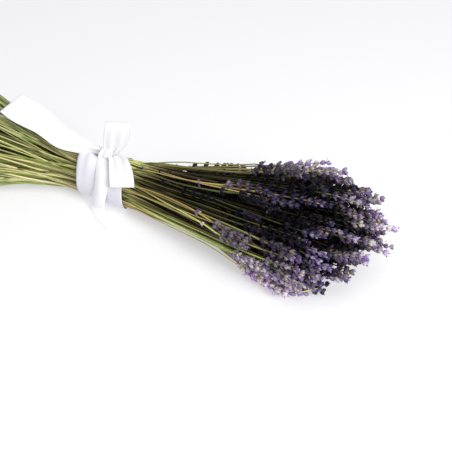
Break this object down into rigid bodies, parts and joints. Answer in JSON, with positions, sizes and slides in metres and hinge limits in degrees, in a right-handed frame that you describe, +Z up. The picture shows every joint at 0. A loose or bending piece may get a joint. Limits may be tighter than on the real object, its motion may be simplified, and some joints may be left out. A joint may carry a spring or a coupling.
{
  "type": "bunch of dried lavender",
  "caption": "Bunch of dried lavender lying on its side, flower heads spread at one end, tied at the waist with a satin ribbon bow.",
  "frame": {"origin": "middle of the flat spot of the ribbon under the tie, on the surface that the bunch lies on", "axes": "+X from the cut stem ends through the tie to the flowers, +Z up, +Y to the far side of the picture"},
  "size_m": [0.4289, 0.1495, 0.0929],
  "materials": {
    "lavender_stem": "dry, matt, olive to straw",
    "lavender_flower": "dry, matt, blue violet with pale grey lilac",
    "ribbon_satin": "white satin"
  },
  "bodies": {
    "root": {"stems_01": "lavender_stem", "stems_02": "lavender_stem", "stems_03": "lavender_stem", "stems_04": "lavender_stem", "stems_05": "lavender_stem", "stems_06": "lavender_stem", "stems_07": "lavender_stem", "stems_08": "lavender_stem", "stems_09": "lavender_stem", "stems_10": "lavender_stem", "stems_11": "lavender_stem", "stems_12": "lavender_stem", "stems_13": "lavender_stem", "stems_14": "lavender_stem", "stems_15": "lavender_stem", "stems_16": "lavender_stem", "stems_17": "lavender_stem", "stems_18": "lavender_stem", "stems_19": "lavender_stem", "stems_20": "lavender_stem", "stems_21": "lavender_stem", "stems_22": "lavender_stem", "stems_23": "lavender_stem", "stems_24": "lavender_stem", "stems_25": "lavender_stem", "stems_26": "lavender_stem", "stems_27": "lavender_stem", "flower_heads_01": "lavender_flower", "flower_heads_02": "lavender_flower", "flower_heads_03": "lavender_flower", "flower_heads_04": "lavender_flower", "flower_heads_05": "lavender_flower", "flower_heads_06": "lavender_flower", "flower_heads_07": "lavender_flower", "flower_heads_08": "lavender_flower", "flower_heads_09": "lavender_flower", "flower_heads_10": "lavender_flower", "flower_heads_11": "lavender_flower", "flower_heads_12": "lavender_flower", "flower_heads_13": "lavender_flower", "flower_heads_14": "lavender_flower", "flower_heads_15": "lavender_flower", "flower_heads_16": "lavender_flower", "flower_heads_17": "lavender_flower", "flower_heads_18": "lavender_flower", "flower_heads_19": "lavender_flower", "flower_heads_20": "lavender_flower", "flower_heads_21": "lavender_flower", "flower_heads_22": "lavender_flower", "flower_heads_23": "lavender_flower", "flower_heads_24": "lavender_flower", "flower_heads_25": "lavender_flower", "flower_heads_26": "lavender_flower", "flower_heads_27": "lavender_flower", "ribbon": "ribbon_satin"}
  },
  "joints": []
}
